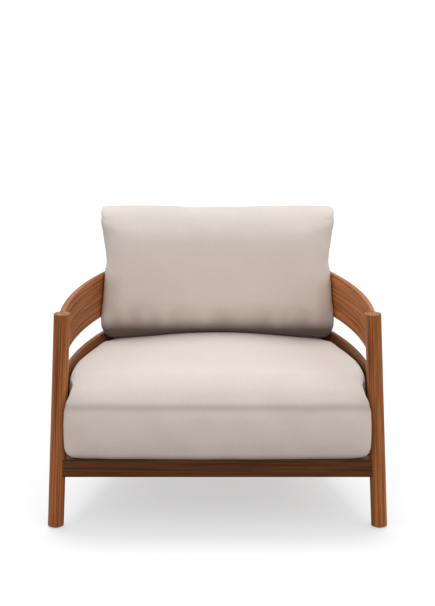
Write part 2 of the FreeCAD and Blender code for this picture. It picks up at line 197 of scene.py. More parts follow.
def stretched_noise(tree, vector, stretch, detail, roughness=0.55):
    """Noise whose cells are longer along one axis. stretch is cells per metre along each axis."""
    scaled = add_node(tree, "ShaderNodeVectorMath", {0: vector, 1: stretch}, operation="MULTIPLY")
    noise = add_node(tree, "ShaderNodeTexNoise",
                     {"Vector": scaled.outputs[0], "Scale": 1.0, "Detail": detail, "Roughness": roughness})
    return noise.outputs["Fac"]


def remapped(tree, value, low, high, new_low=0.0, new_high=1.0):
    node = add_node(tree, "ShaderNodeMapRange", {"Value": value, "From Min": low, "From Max": high,
                                                 "To Min": new_low, "To Max": new_high})
    return node.outputs["Result"]


def mixed(tree, factor, first, second):
    node = add_node(tree, "ShaderNodeMix", {"Factor": factor, 6: first, 7: second}, data_type="RGBA")
    return node.outputs[2]


def computed(tree, operation, first, second):
    return add_node(tree, "ShaderNodeMath", {0: first, 1: second}, operation=operation).outputs[0]


grain_group, grain_in, grain_out = group_tree(
    "hardwood_grain",
    [("Along", "NodeSocketVector", None), ("Light wood", "NodeSocketColor", (0.47, 0.168, 0.050, 1.0)),
     ("Dark wood", "NodeSocketColor", (0.118, 0.033, 0.010, 1.0))],
    [("Color", "NodeSocketColor"), ("Roughness", "NodeSocketFloat"), ("Height", "NodeSocketFloat")])
along = grain_in.outputs["Along"]
figure = remapped(grain_group, stretched_noise(grain_group, along, (1.4, 70.0, 70.0), 3.0), 0.30, 0.70)
lines = remapped(grain_group, stretched_noise(grain_group, along, (4.0, 240.0, 240.0), 5.0), 0.36, 0.60)
pores = remapped(grain_group, stretched_noise(grain_group, along, (34.0, 900.0, 900.0), 2.0), 0.60, 0.70)
tone = computed(grain_group, "MULTIPLY", lines, 0.62)
shade = computed(grain_group, "ADD", computed(grain_group, "MULTIPLY", figure, 0.42), tone)
wood = mixed(grain_group, shade, grain_in.outputs["Dark wood"], grain_in.outputs["Light wood"])
pore_share = computed(grain_group, "MULTIPLY", pores, 0.45)
pored = mixed(grain_group, pore_share, wood, grain_in.outputs["Dark wood"])
grain_group.links.new(pored, grain_out.inputs["Color"])
grain_group.links.new(remapped(grain_group, lines, 0.0, 1.0, 0.50, 0.36), grain_out.inputs["Roughness"])
grain_group.links.new(computed(grain_group, "SUBTRACT", lines, pores), grain_out.inputs["Height"])
print("group:", grain_group.name, len(grain_group.nodes), "nodes")

# %% Timber materials, one for each direction of the grain
def timber_material(name, turn=0.0, follows_piece=False, strength=1.0):
    """Oiled hardwood with its grain along the piece's stored path, or along X turned about Z."""
    material, tree, shader = new_material(name)
    if follows_piece:
        vector = add_node(tree, "ShaderNodeAttribute", attribute_name="grain").outputs["Vector"]
    else:
        place = add_node(tree, "ShaderNodeTexCoord").outputs["Object"]
        turned = add_node(tree, "ShaderNodeMapping", {"Vector": place, "Rotation": (0.0, 0.0, -turn)})
        vector = turned.outputs[0]
    grain = add_node(tree, "ShaderNodeGroup", node_tree=grain_group)
    tree.links.new(vector, grain.inputs["Along"])
    for label, socket in grain_group.interface.items_tree.items():
        if socket.in_out == "INPUT" and hasattr(socket, "default_value") and label != "Along":
            color = [channel * strength for channel in socket.default_value[:3]]
            grain.inputs[label].default_value = color + [1.0]
    bump = add_node(tree, "ShaderNodeBump",
                    {"Height": grain.outputs["Height"], "Strength": 0.12, "Distance": 0.0006})
    tree.links.new(grain.outputs["Color"], shader.inputs["Base Color"])
    tree.links.new(grain.outputs["Roughness"], shader.inputs["Roughness"])
    tree.links.new(bump.outputs["Normal"], shader.inputs["Normal"])
    shader_input(shader, "Specular IOR Level", 0.14)
    return material


rail_heading = math.atan2(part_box("side_rail_right")[1].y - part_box("side_rail_right")[0].y,
                          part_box("side_rail_right")[0].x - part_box("side_rail_right")[1].x)
# Painted light and shade: each band's timber is lightened or darkened for how light falls on it; the lower
# bands sit in the shade of the arms, and the right arm's inner face is lit.
band_painted_light_strengths = {"arm_band_left": 0.98, "arm_band_right": 1.28, "arm_band_back": 1.1,
                  "lower_band_left": 0.76, "lower_band_right": 0.55, "lower_band_back": 0.8}
timber_bands_with_painted_light = {name: timber_material("timber_of_" + name, follows_piece=True, strength=strength)
                for name, strength in band_painted_light_strengths.items()}
timber_post = timber_material("timber_along_post", follows_piece=True, strength=1.06)
# Painted shade: the front rail's timber is much darker than the rest, for the shadow under the seat
# cushion's nose.
timber_front_rail_painted_shade = timber_material("timber_of_front_rail_painted_shade", strength=0.34)
timber_x = timber_material("timber_along_x", strength=0.85)
timber_y = timber_material("timber_along_y", math.pi / 2)
timber_right = timber_material("timber_along_right_rail", rail_heading)
timber_left = timber_material("timber_along_left_rail", math.pi - rail_heading)
print("timber finishes:", 6 + len(timber_bands_with_painted_light))

# %% [markdown]
# ## Rails and deck
# The rails, cleats, bearer and slats are straight sawn bars, and their solids already have the right
# shape and eased edges. They stay as they are and only get the timber with the grain along them. The
# front rail's timber is darkened as painted shade, for the shadow under the seat cushion's nose.

# %% Dress the straight timber
def dress(material, *names):
    for name in names:
        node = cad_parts[name]
        node.data.materials.clear()
        node.data.materials.append(material)


slats = [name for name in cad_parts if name.startswith("deck_slat")]
dress(timber_front_rail_painted_shade, "front_rail")
dress(timber_x, "back_rail", *slats)
dress(timber_y, "deck_bearer")
dress(timber_right, "side_rail_right", "slat_cleat_right")
dress(timber_left, "side_rail_left", "slat_cleat_left")
print("dressed", len(slats) + 7, "straight pieces")

# %% [markdown]
# ## Bent bands
# Each band is a thin board, steam-bent or laminated along arcs, with rounded edges. A Geometry Nodes
# tree sweeps a rounded rectangle along the plan curve, which is how the real board lies. It also
# stores how far along the curve each point is, so that the grain follows the bend.

# %% Node tree: a rounded board swept along a path
def nodes_tree(name, inputs):
    tree = bpy.data.node_groups.new(name, "GeometryNodeTree")
    tree.interface.new_socket("Path", in_out="INPUT", socket_type="NodeSocketGeometry")
    for label, kind in inputs:
        tree.interface.new_socket(label, in_out="INPUT", socket_type=kind)
    tree.interface.new_socket("Geometry", in_out="OUTPUT", socket_type="NodeSocketGeometry")
    return tree, tree.nodes.new("NodeGroupInput"), tree.nodes.new("NodeGroupOutput")


def captured(tree, geometry, kind, label, value):
    """A geometry that carries a value of this moment, and that value's socket."""
    node = tree.nodes.new("GeometryNodeCaptureAttribute")
    node.capture_items.new(kind, label)
    tree.links.new(geometry, node.inputs[0])
    tree.links.new(value, node.inputs[1])
    return node.outputs[0], node.outputs[1]


def swept(tree, path, profile, group_in, to_output):
    """Sweeps a profile along a path and stores the grain's coordinate: along, across, up."""
    length = tree.nodes.new("GeometryNodeSplineParameter").outputs["Length"]
    along = computed(tree, "ADD", length, group_in.outputs["Grain start"])
    path, path_length = captured(tree, path, "FLOAT", "Length", along)
    here = tree.nodes.new("GeometryNodeInputPosition").outputs[0]
    profile, profile_place = captured(tree, profile, "VECTOR", "Place", here)
    sweep = add_node(tree, "GeometryNodeCurveToMesh",
                     {"Curve": path, "Profile Curve": profile, "Fill Caps": True})
    split = add_node(tree, "ShaderNodeSeparateXYZ", {0: profile_place})
    grain = add_node(tree, "ShaderNodeCombineXYZ",
                     {0: path_length, 1: split.outputs[0], 2: split.outputs[1]})
    store = add_node(tree, "GeometryNodeStoreNamedAttribute",
                     {"Geometry": sweep.outputs[0], "Name": "grain", "Value": grain.outputs[0]},
                     data_type="FLOAT_VECTOR", domain="POINT")
    realized = add_node(tree, "GeometryNodeRealizeInstances", {0: store.outputs[0]})
    finished = add_node(tree, "GeometryNodeSetMaterial",
                        {"Geometry": realized.outputs[0], "Material": group_in.outputs["Timber"]})
    tree.links.new(finished.outputs[0], to_output.inputs[0])


board_tree, board_in, board_out = nodes_tree("bent_board", [
    ("Thickness", "NodeSocketFloat"), ("Height", "NodeSocketFloat"), ("Edge round", "NodeSocketFloat"),
    ("Grain start", "NodeSocketFloat"), ("Timber", "NodeSocketMaterial")])
board_path = add_node(board_tree, "GeometryNodeMeshToCurve", {0: board_in.outputs["Path"]})
upright = add_node(board_tree, "GeometryNodeSetCurveNormal", {0: board_path.outputs[0]}, mode="Z_UP")
section = add_node(board_tree, "GeometryNodeCurvePrimitiveQuadrilateral",
                   {"Width": board_in.outputs["Thickness"], "Height": board_in.outputs["Height"]})
rounded = add_node(board_tree, "GeometryNodeFilletCurve",
                   {"Curve": section.outputs[0], "Radius": board_in.outputs["Edge round"], "Count": 4},
                   mode="POLY")
swept(board_tree, upright.outputs[0], rounded.outputs[0], board_in, board_out)
print("tree:", board_tree.name, len(board_tree.nodes), "nodes")


# %% Make the plan curves and the six band pieces
def path_object(name, points):
    mesh = bpy.data.meshes.new(name)
    mesh.from_pydata(points, [(number, number + 1) for number in range(len(points) - 1)], [])
    piece = bpy.data.objects.new(name, mesh)
    bpy.context.collection.objects.link(piece)
    return piece


def run_tree(piece, tree, values):
    """Runs a node tree on an object and keeps the result as its plain mesh."""
    modifier = piece.modifiers.new(tree.name, "NODES")
    modifier.node_group = tree
    for socket in tree.interface.items_tree:
        if socket.in_out == "INPUT" and socket.name in values:
            modifier[socket.identifier] = values[socket.name]
    graph = bpy.context.evaluated_depsgraph_get()
    result = bpy.data.meshes.new_from_object(piece.evaluated_get(graph))
    piece.modifiers.remove(modifier)
    piece.data = result
    return piece


def grain_start(name):
    """Each piece is cut from another stretch of timber, a few metres further along."""
    return 3.7 * sorted(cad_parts).index(name)


def smooth(piece, angle=40.0):
    piece.data.shade_smooth()
    piece.data.set_sharp_from_angle(angle=math.radians(angle))


def arc(centre, radius, start, end, step=math.radians(0.75)):
    count = max(2, round(abs(end - start) / step))
    turns = [start + (end - start) * number / count for number in range(count + 1)]
    return [centre + radius * Vector((math.cos(turn), math.sin(turn))) for turn in turns]


tenon_start = 0.017
tenon_turn = tenon_start / corner_radius
board_extra = 0.0024
board_thickness = band_thickness + board_extra
board_shift = (board_thickness - band_thickness) / 2


def arm_plan():
    """The right arm from inside the front post to inside the rear post."""
    start = [Vector((half_spread + board_shift, front_line + tenon_start))]
    side = arc(side_centre, side_radius + board_shift, 0.0, side_turn)
    corner = arc(corner_centre, corner_radius + board_shift, side_turn, rear_turn - tenon_turn)
    return start + side + corner[1:]


def back_plan():
    """The back from inside the right rear post to inside the left one."""
    right = arc(corner_centre, corner_radius + board_shift, rear_turn + tenon_turn, back_turn)
    middle = arc(back_centre, back_radius + board_shift, back_turn, math.pi - back_turn)
    left = [Vector((-place.x, place.y)) for place in right[::-1]]
    return right + middle[1:] + left[1:]


band_edge = 0.0036
for level in ("arm_band", "lower_band"):
    low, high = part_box(level + "_back")
    middle = (low.z + high.z) / 2
    plans = {"right": arm_plan(), "left": [Vector((-place.x, place.y)) for place in arm_plan()],
             "back": back_plan()}
    for side, plan in plans.items():
        node = "%s_%s" % (level, side)
        board = path_object(node + "_board", [(place.x, place.y, middle) for place in plan])
        run_tree(board, board_tree, {"Thickness": board_thickness, "Height": high.z - low.z,
                                     "Edge round": band_edge, "Grain start": grain_start(node),
                                     "Timber": timber_bands_with_painted_light[node]})
        smooth(board)
        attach(board, "frame")
        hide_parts(node)
    print(level, "height", round(high.z - low.z, 4), "pieces", len(plans))

# %% [markdown]
# ## Posts
# The posts are turned round bars that lean outwards, cut level at the top and at the foot, with a soft
# rounded rim. A second tree sweeps a circle up a straight path. The circle shrinks at both ends
# for the rim, and a shear then leans the bar while its ends stay level.

# %% Node tree: a round bar with soft rims
bar_tree, bar_in, bar_out = nodes_tree("round_bar", [
    ("Radius", "NodeSocketFloat"), ("Grain start", "NodeSocketFloat"), ("Timber", "NodeSocketMaterial")])
bar_path = add_node(bar_tree, "GeometryNodeMeshToCurve", {0: bar_in.outputs["Path"]})
rim = add_node(bar_tree, "GeometryNodeInputNamedAttribute", {"Name": "rim"}, data_type="FLOAT")
narrowed = add_node(bar_tree, "GeometryNodeSetCurveRadius",
                    {"Curve": bar_path.outputs[0], "Radius": rim.outputs[0]})
circle = add_node(bar_tree, "GeometryNodeCurvePrimitiveCircle",
                  {"Resolution": 56, "Radius": bar_in.outputs["Radius"]})
swept(bar_tree, narrowed.outputs[0], circle.outputs[0], bar_in, bar_out)
print("tree:", bar_tree.name, len(bar_tree.nodes), "nodes")


# %% Make the four posts
foot_rim = 0.004
crown_rim = 0.003


def rim_steps(height, round_off, steps=6):
    """Heights and relative radii of a rim's quarter round, from the end inwards."""
    rows = []
    for number in range(steps + 1):
        turn = math.pi / 2 * number / steps
        level = height - round_off * (1 - math.sin(turn))
        rows.append((level, 1 - round_off * (1 - math.cos(turn)) / post_radius))
    return rows


def post(name, top, outward):
    low, high = glide_height, arm_height
    foot = [(low + (high - z), radius) for z, radius in rim_steps(high, foot_rim)][::-1]
    crown = rim_steps(high, crown_rim)
    levels = foot + crown
    bar = path_object(name + "_bar", [(0.0, 0.0, z) for z, _ in levels])
    bar.data.attributes.new("rim", "FLOAT", "POINT").data.foreach_set("value", [size for _, size in levels])
    run_tree(bar, bar_tree,
             {"Radius": post_radius, "Grain start": grain_start(name), "Timber": timber_post})
    lean = Matrix.Identity(4)
    lean[0][2], lean[1][2] = -post_slope * outward.x, -post_slope * outward.y
    lean[0][3] = top.x + post_slope * outward.x * arm_height
    lean[1][3] = top.y + post_slope * outward.y * arm_height
    bar.data.transform(lean)
    smooth(bar)
    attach(bar, "frame")
    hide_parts(name)


for side, sign in (("right", 1.0), ("left", -1.0)):
    post("front_leg_" + side, Vector((sign * half_spread, front_line)), Vector((sign, 0.0)))
    post("rear_leg_" + side, Vector((sign * rear_top.x, rear_top.y)),
         Vector((sign * rear_outward.x, rear_outward.y)))
print("posts: 4, height", arm_height)

# %% [markdown]
# ## Glides and zips
# Small plastic discs keep the feet off the wet ground. They and the zips stay as the solids are,
# and get plain hard finishes with a little unevenness, so that they don't look like paint.

# %% Finishes for glides, zip tape and zip metal
def plain_material(name, color, roughness, metallic=0.0, mottle=0.12, cells=180.0):
    material, tree, shader = new_material(name)
    place = add_node(tree, "ShaderNodeTexCoord").outputs["Object"]
    specks = stretched_noise(tree, place, (cells, cells, cells), 3.0)
    darker = tuple(channel * (1.0 - mottle) for channel in color) + (1.0,)
    lighter = tuple(min(1.0, channel * (1.0 + mottle)) for channel in color) + (1.0,)
    tree.links.new(mixed(tree, specks, darker, lighter), shader.inputs["Base Color"])
    uneven_gloss = remapped(tree, specks, 0.3, 0.7, roughness - 0.06, roughness + 0.06)
    tree.links.new(uneven_gloss, shader.inputs["Roughness"])
    shader_input(shader, "Metallic", metallic)
    return material


dress(plain_material("glide_plastic", (0.022, 0.02, 0.02), 0.5), "foot_glides")
dress(plain_material("zip_tape", (0.46, 0.41, 0.37), 0.85, cells=900.0), "seat_zip", "back_zip")
dress(plain_material("zip_metal", (0.42, 0.42, 0.42), 0.34, 1.0), "seat_zip_slider", "back_zip_slider")
print("small finishes: 3")

# %% [markdown]
# ## Screws
# Countersunk screws hold each slat to the two cleats and to the middle bearer, and each cleat to its
# side rail. A Geometry Nodes tree sets one cross-slotted head on every point of a plain list of
# places, which is the way to repeat a small part.

# %% Node tree: screw heads on points
screw_tree, screw_in, screw_out = nodes_tree("screw_heads", [
    ("Tilt", "NodeSocketVector"), ("Metal", "NodeSocketMaterial"), ("Slot", "NodeSocketMaterial")])
head_radius, head_neck = 0.0040, 0.0030
head_depth, head_proud = 0.0012, 0.00015
slot_length, slot_width, slot_depth = 0.0050, 0.0009, 0.0003
slot_place = (0.0, 0.0, 0.00003)
head = add_node(screw_tree, "GeometryNodeMeshCone", {"Vertices": 18, "Radius Top": head_radius,
                                                     "Radius Bottom": head_neck, "Depth": head_depth})
head_sunk = add_node(screw_tree, "GeometryNodeTransform",
                     {"Geometry": head.outputs["Mesh"], "Translation": (0.0, 0.0, head_proud - head_depth)})
head_metal = add_node(screw_tree, "GeometryNodeSetMaterial",
                      {"Geometry": head_sunk.outputs[0], "Material": screw_in.outputs["Metal"]})
slots = []
for slot_size in ((slot_length, slot_width, slot_depth), (slot_width, slot_length, slot_depth)):
    bar = add_node(screw_tree, "GeometryNodeMeshCube", {"Size": slot_size})
    lifted = add_node(screw_tree, "GeometryNodeTransform",
                      {"Geometry": bar.outputs["Mesh"], "Translation": slot_place})
    slots.append(add_node(screw_tree, "GeometryNodeSetMaterial",
                          {"Geometry": lifted.outputs[0], "Material": screw_in.outputs["Slot"]}))
whole_head = screw_tree.nodes.new("GeometryNodeJoinGeometry")
for part in [head_metal] + slots:
    screw_tree.links.new(part.outputs[0], whole_head.inputs[0])
tilt = add_node(screw_tree, "FunctionNodeEulerToRotation", {0: screw_in.outputs["Tilt"]})
spread_heads = add_node(screw_tree, "GeometryNodeInstanceOnPoints",
                        {"Points": screw_in.outputs["Path"], "Instance": whole_head.outputs[0],
                         "Rotation": tilt.outputs[0]})
real_heads = add_node(screw_tree, "GeometryNodeRealizeInstances", {0: spread_heads.outputs[0]})
screw_tree.links.new(real_heads.outputs[0], screw_out.inputs[0])
print("tree:", screw_tree.name, len(screw_tree.nodes), "nodes")


# %% Place the screws on the slats and cleats
screw_steel = plain_material("screw_steel", (0.38, 0.37, 0.35), 0.36, 1.0)
# Painted shade: the cross slots are near-black boxes on the steel heads, standing for the shadow inside the
# groove.
screw_slot_painted_shade = plain_material("screw_slot_painted_shade", (0.03, 0.03, 0.03), 0.6)


def screws(name, places, facing):
    """Screw heads at places, all facing one way."""
    piece = path_object(name, [])
    piece.data.from_pydata(places, [], [])
    tilt = facing.to_track_quat("Z", "Y").to_euler()
    run_tree(piece, screw_tree, {"Tilt": tuple(tilt), "Metal": screw_steel, "Slot": screw_slot_painted_shade})
    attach(piece, "frame")
    print(name, len(places))


def inner_face(name, sign):
    """Ends of a cleat's inner face at half its height, and the way the face looks."""
    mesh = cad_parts[name].data
    faces = [face for face in mesh.polygons if face.normal.x * sign < -0.5]
    widest = max(faces, key=lambda face: face.area)
    corners = [mesh.vertices[number].co for face in faces for number in face.vertices
               if face.normal.dot(widest.normal) > 0.999]
    level = sum(corner.z for corner in corners) / len(corners)
    near = min(corners, key=lambda corner: corner.y)
    far = max(corners, key=lambda corner: corner.y)
    return Vector((near.x, near.y, level)), Vector((far.x, far.y, level)), widest.normal.copy()


cleat_shares = (0.07, 0.36, 0.64, 0.93)
cleat_faces = {}
for side, sign in (("right", 1.0), ("left", -1.0)):
    near, far, facing = inner_face("slat_cleat_" + side, sign)
    cleat_faces[side] = (near, far)
    screws("cleat_screws_" + side, [near.lerp(far, share) for share in cleat_shares], facing)

cleat_half = 0.011
slat_places = []
for name in slats:
    low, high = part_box(name)
    depth = (low.y + high.y) / 2
    near, far = cleat_faces["right"]
    share = (depth - near.y) / (far.y - near.y)
    over_cleat = near.lerp(far, share).x + cleat_half
    slat_places += [(x, depth, high.z) for x in (-over_cleat, 0.0, over_cleat)]
screws("slat_screws", slat_places, Vector((0.0, 0.0, 1.0)))

# %% [markdown]
# ## Outdoor cloth
# Both covers are sewn from one matt woven cloth in a pale warm grey. A plain weave is two sets of
# threads, so two waves at right angles give its height and its faint tone. A wider noise adds the slow
# change of tone that real yarn has.

# %% Shared shader group: plain weave
weave_group, weave_in, weave_out = group_tree(
    "plain_weave",
    [("Place", "NodeSocketVector", None), ("Threads per metre", "NodeSocketFloat", 900.0)],
    [("Tone", "NodeSocketFloat"), ("Height", "NodeSocketFloat")])


def thread_wave(tree, value, threads):
    turn = computed(tree, "MULTIPLY", computed(tree, "MULTIPLY", value, threads), math.pi)
    return computed(tree, "SINE", turn, 0.0)


weave_split = add_node(weave_group, "ShaderNodeSeparateXYZ", {0: weave_in.outputs["Place"]})
threads = weave_in.outputs["Threads per metre"]
warp = thread_wave(weave_group, weave_split.outputs[0], threads)
down_and_back = computed(weave_group, "ADD", weave_split.outputs[1], weave_split.outputs[2])
weft = thread_wave(weave_group, down_and_back, threads)
crossing = computed(weave_group, "MULTIPLY", warp, weft)
slub = stretched_noise(weave_group, weave_in.outputs["Place"], (420.0, 90.0, 90.0), 3.0)
cloudy = stretched_noise(weave_group, weave_in.outputs["Place"], (9.0, 9.0, 9.0), 2.0)
weave_tone = computed(weave_group, "ADD", computed(weave_group, "MULTIPLY", slub, 0.55),
                      computed(weave_group, "MULTIPLY", cloudy, 0.45))
weave_group.links.new(weave_tone, weave_out.inputs["Tone"])
weave_group.links.new(computed(weave_group, "ADD", crossing, slub), weave_out.inputs["Height"])


def cloth_material(name, color):
    material, tree, shader = new_material(name)
    place = add_node(tree, "ShaderNodeTexCoord").outputs["Object"]
    weave = add_node(tree, "ShaderNodeGroup", node_tree=weave_group)
    tree.links.new(place, weave.inputs["Place"])
    weave.inputs["Threads per metre"].default_value = 900.0
    tone = remapped(tree, weave.outputs["Tone"], 0.3, 0.7)
    # Painted shade: the point attribute tone mixes the woven colour towards a dark colour where creases,
    # seams and contact lines lie in shadow.
    painted_shade_share = add_node(tree, "ShaderNodeAttribute", attribute_name="tone").outputs["Fac"]
    painted_shade_color = tuple(channel * share for channel, share in zip(color, (0.16, 0.13, 0.11))) + (1.0,)
    darker = tuple(channel * 0.95 for channel in color) + (1.0,)
    lighter = tuple(min(1.0, channel * 1.04) for channel in color) + (1.0,)
    woven = mixed(tree, tone, darker, lighter)
    tree.links.new(mixed(tree, painted_shade_share, woven, painted_shade_color), shader.inputs["Base Color"])
    bump = add_node(tree, "ShaderNodeBump",
                    {"Height": weave.outputs["Height"], "Strength": 0.15, "Distance": 0.0003})
    tree.links.new(bump.outputs["Normal"], shader.inputs["Normal"])
    shader_input(shader, "Roughness", 0.92)
    shader_input(shader, "Specular IOR Level", 0.25)
    shader_input(shader, "Sheen Weight", 0.12)
    shader_input(shader, "Sheen Roughness", 0.5)
    return material


cover_cloth = cloth_material("cover_cloth", (0.665, 0.585, 0.535))
print("group:", weave_group.name, len(weave_group.nodes), "nodes")

# %% [markdown]
# ## Cushion forms
# A cushion starts as a stack of level outlines that follow the bands. The front is nearly straight,
# the sides and rear keep an even distance from the bands, and arcs round the corners. Rings of
# points on those outlines make a closed mesh, which is then remeshed into even cloth.

# %% Outlines and rings
def touching_circle(first, first_radius, second, second_radius, corner):
    """Centre of the corner circle that touches two larger circles from inside, on the right."""
    link = second - first
    reach = first_radius - corner
    part = (reach ** 2 - (second_radius - corner) ** 2 + link.length_squared) / (2 * link.length)
    aside = math.sqrt(reach ** 2 - part ** 2)
    unit = link.normalized()
    return first + unit * part + Vector((-unit.y, unit.x)) * aside


def heading(start, end):
    return math.atan2(end.y - start.y, end.x - start.x)


def outline(front, rear, side, counts=(30, 10, 26, 16, 20)):
    """Points round a cushion. front and rear are (place, round, corner), side is (centre, round)."""
    front_y, front_round, front_corner = front
    rear_y, rear_round, rear_corner = rear
    side_centre, side_round = side
    front_centre = Vector((0.0, front_y + front_round))
    rear_centre = Vector((0.0, rear_y - rear_round))
    nose = touching_circle(front_centre, front_round, side_centre, side_round, front_corner)
    hip = touching_circle(side_centre, side_round, rear_centre, rear_round, rear_corner)
    turns = (heading(front_centre, nose), heading(side_centre, nose), heading(side_centre, hip),
             heading(rear_centre, hip))
    spans = [(front_centre, front_round, -math.pi / 2, turns[0]), (nose, front_corner, turns[0], turns[1]),
             (side_centre, side_round, turns[1], turns[2]), (hip, rear_corner, turns[2], turns[3]),
             (rear_centre, rear_round, turns[3], math.pi / 2)]
    right = []
    for (centre, radius, start, end), count in zip(spans, counts):
        step = (end - start) / count
        right += [centre + radius * Vector((math.cos(start + step * n), math.sin(start + step * n)))
                  for n in range(count)]
    rearmost = Vector((0.0, rear_y))
    left = [Vector((-place.x, place.y)) for place in right[1:][::-1]]
    return right + [rearmost] + left


def side_along_band(offset):
    return side_centre, side_radius - offset


def rear_along_band(offset):
    return front_line + band_depth - offset, back_radius - offset, corner_radius - offset


def ringed_mesh(name, rings):
    """A closed mesh through level rings, with a flat cap at each end."""
    count = len(rings[0])
    vertices = [corner for ring in rings for corner in ring]
    faces = []
    for row in range(len(rings) - 1):
        for number in range(count):
            after = (number + 1) % count
            low = row * count
            faces.append((low + number, low + after, low + count + after, low + count + number))
    faces.append(tuple(range(count))[::-1])
    faces.append(tuple(range(count * (len(rings) - 1), count * len(rings))))
    mesh = bpy.data.meshes.new(name)
    mesh.from_pydata(vertices, [], faces)
    piece = bpy.data.objects.new(name, mesh)
    bpy.context.collection.objects.link(piece)
    return piece


band_depth = back_centre.y + back_radius - front_line
cushion_gap = 0.0045
side_offset = band_thickness / 2 + cushion_gap
print("band depth", round(band_depth, 4), "cushions keep", round(side_offset, 4), "from the bands' middle")

# %% [markdown]
# ## The seat cushion's form
# The seat is a thick block of foam, so its top is a low dome with a long round towards the front and
# tight rounds at the sides. The dome's height is a formula, because the back cushion stands on it
# later and has to follow it.

# %% Seat cushion form
seat_low, seat_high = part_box("seat_cover")[0].z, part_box("seat_cover")[1].z
seat_seam = seat_low + 0.149
seat_nose = front_line - 0.044
seat_front_bow = 9.0
seat_front_run, seat_front_rise = 0.100, 0.068
seat_side_run, seat_side_rise = 0.012, 0.010
seat_roll, seat_side_roll = 0.024, 0.012
seat_half_width, seat_half_depth = 0.39, 0.36
seat_puff = 0.005
dome_half_width, dome_power = 0.235, 2.3
dome_fall_front, dome_fall_added = 0.009, 0.015
front_dip, front_dip_run = 0.008, 0.06
back_stand, back_stand_fade = 0.405, 0.035
pressed_depth = 0.008
zip_room, zip_fade = 0.065, 0.045
cushion_corner = 0.016


def eased(value):
    value = np.clip(value, 0.0, 1.0)
    return value * value * (3 - 2 * value)


def edge_round(distance, run, rise):
    """How far a rounded edge lies below its top, at a distance from the edge."""
    share = 1 - np.clip(distance / run, 0.0, 1.0)
    return rise * (1 - np.sqrt(1 - share ** 2))


def side_distance(x, y):
    """How far a place lies inside the line that the cushions keep along the bands."""
    x = np.abs(x)
    side = side_radius - side_offset - np.hypot(x - side_centre.x, y - side_centre.y)
    rear = back_radius - side_offset - np.hypot(x - back_centre.x, y - back_centre.y)
    corner = corner_radius - side_offset - np.hypot(x - corner_centre.x, y - corner_centre.y)
    turn = np.arctan2(y - corner_centre.y, x - corner_centre.x)
    return np.where((turn > side_turn) & (turn < back_turn), corner, np.minimum(side, rear))


def away_from_zip(x, y):
    """0 over the back cushion's zip, which stays level, and 1 a little beside it."""
    low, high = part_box("back_zip")
    lengthwise = eased((high.x + zip_room - np.abs(x)) / zip_fade)
    across = eased(((high.y - low.y) / 2 + zip_room - np.abs(y - (low.y + high.y) / 2)) / zip_fade)
    return 1 - lengthwise * across


def seat_dome(x, y):
    """Height of the seat's filled top without its edges. The back cushion presses it down a little."""
    front = np.maximum(y - seat_nose, 0.0)
    fall = dome_fall_front + dome_fall_added * eased((front - 0.12) / 0.30)
    sideways = 1 - np.exp(-(np.abs(x) / dome_half_width) ** dome_power)
    across = fall * sideways * (1 - np.exp(-front / 0.05))
    stands_on = eased((y - front_line - back_stand) / back_stand_fade) * away_from_zip(x, y)
    return seat_high - across - front_dip * np.exp(-front / front_dip_run) - pressed_depth * stands_on


def seat_top(x, y):
    """Height of the seat's top with its rounded edges."""
    front = edge_round(y - seat_nose - x ** 2 / (2 * seat_front_bow), seat_front_run, seat_front_rise)
    side = edge_round(side_distance(x, y), seat_side_run, seat_side_rise)
    return seat_dome(x, y) - np.hypot(front, side)


def seat_rings():
    """Rings up the lower roll, up the side strip and over the top to the middle."""
    front = (seat_nose, seat_front_bow, cushion_corner)
    edge = outline(front, rear_along_band(side_offset), side_along_band(side_offset))
    middle = Vector((0.0, 0.0))
    rings = []
    for turn in (90, 60, 30, 0):
        sideways, down = 1 - math.cos(math.radians(turn)), 1 - math.sin(math.radians(turn))
        ring = []
        for place in edge:
            roll = seat_roll - (seat_roll - seat_side_roll) * float(eased((place.y - front_line) / 0.06))
            inset = roll * sideways
            inner_x = place.x * (1 - inset / seat_half_width)
            inner_y = place.y * (1 - inset / seat_half_depth)
            ring.append((inner_x, inner_y, seat_low + roll * down))
        rings.append(ring)
    for share in (0.25, 0.5, 0.75, 1.0):
        puff = seat_puff * 4 * share * (1 - share)
        ring = []
        for place in edge:
            top = float(seat_top(place.x, place.y))
            forward = puff if place.y < front_line - 0.02 else 0.0
            level = seat_low + seat_roll + share * (top - seat_low - seat_roll)
            ring.append((place.x, place.y - forward, level))
        rings.append(ring)
    for share in (0.004, 0.01, 0.018, 0.028, 0.04, 0.055, 0.075, 0.1, 0.14, 0.2, 0.3, 0.45, 0.65, 0.85):
        ring = []
        for place in edge:
            inner = place.lerp(middle, share)
            ring.append((inner.x, inner.y, float(seat_top(inner.x, inner.y))))
        rings.append(ring)
    return rings


seat_cushion = ringed_mesh("seat_cushion_cloth", seat_rings())
print("seat form from", round(seat_low, 4), "to", round(seat_high, 4))

# %% [markdown]
# ## The back cushion's form
# The back cushion is a soft pillow that leans back. Below the arms it is as wide as the bands allow, and
# above them its sides run free. Each level has its own outline, and the foot and the top are rolled.

# %% Back cushion form
back_low, back_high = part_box("back_cover")[0].z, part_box("back_cover")[1].z
back_front = front_line + 0.386
back_slope = math.tan(math.radians(10.0))
back_top = back_high - 0.0125
back_roll = 0.034
back_front_bow, back_rear_bow = 6.0, 1.6
back_rear_corner = 0.022
back_depth = 0.185
back_lean, back_lean_start = 0.022, 0.600
shoulder_depth = 0.030
free_side_centre, free_side_depth = -2.0, 0.055
foot_run, foot_rise = 0.052, 0.050
width_levels = (0.430, 0.470, 0.520, 0.560, 0.620, 0.660, 0.720, 0.750, 0.790)
half_widths = (0.342, 0.340, 0.335, 0.3305, 0.3265, 0.3275, 0.3335, 0.3380, 0.3410)


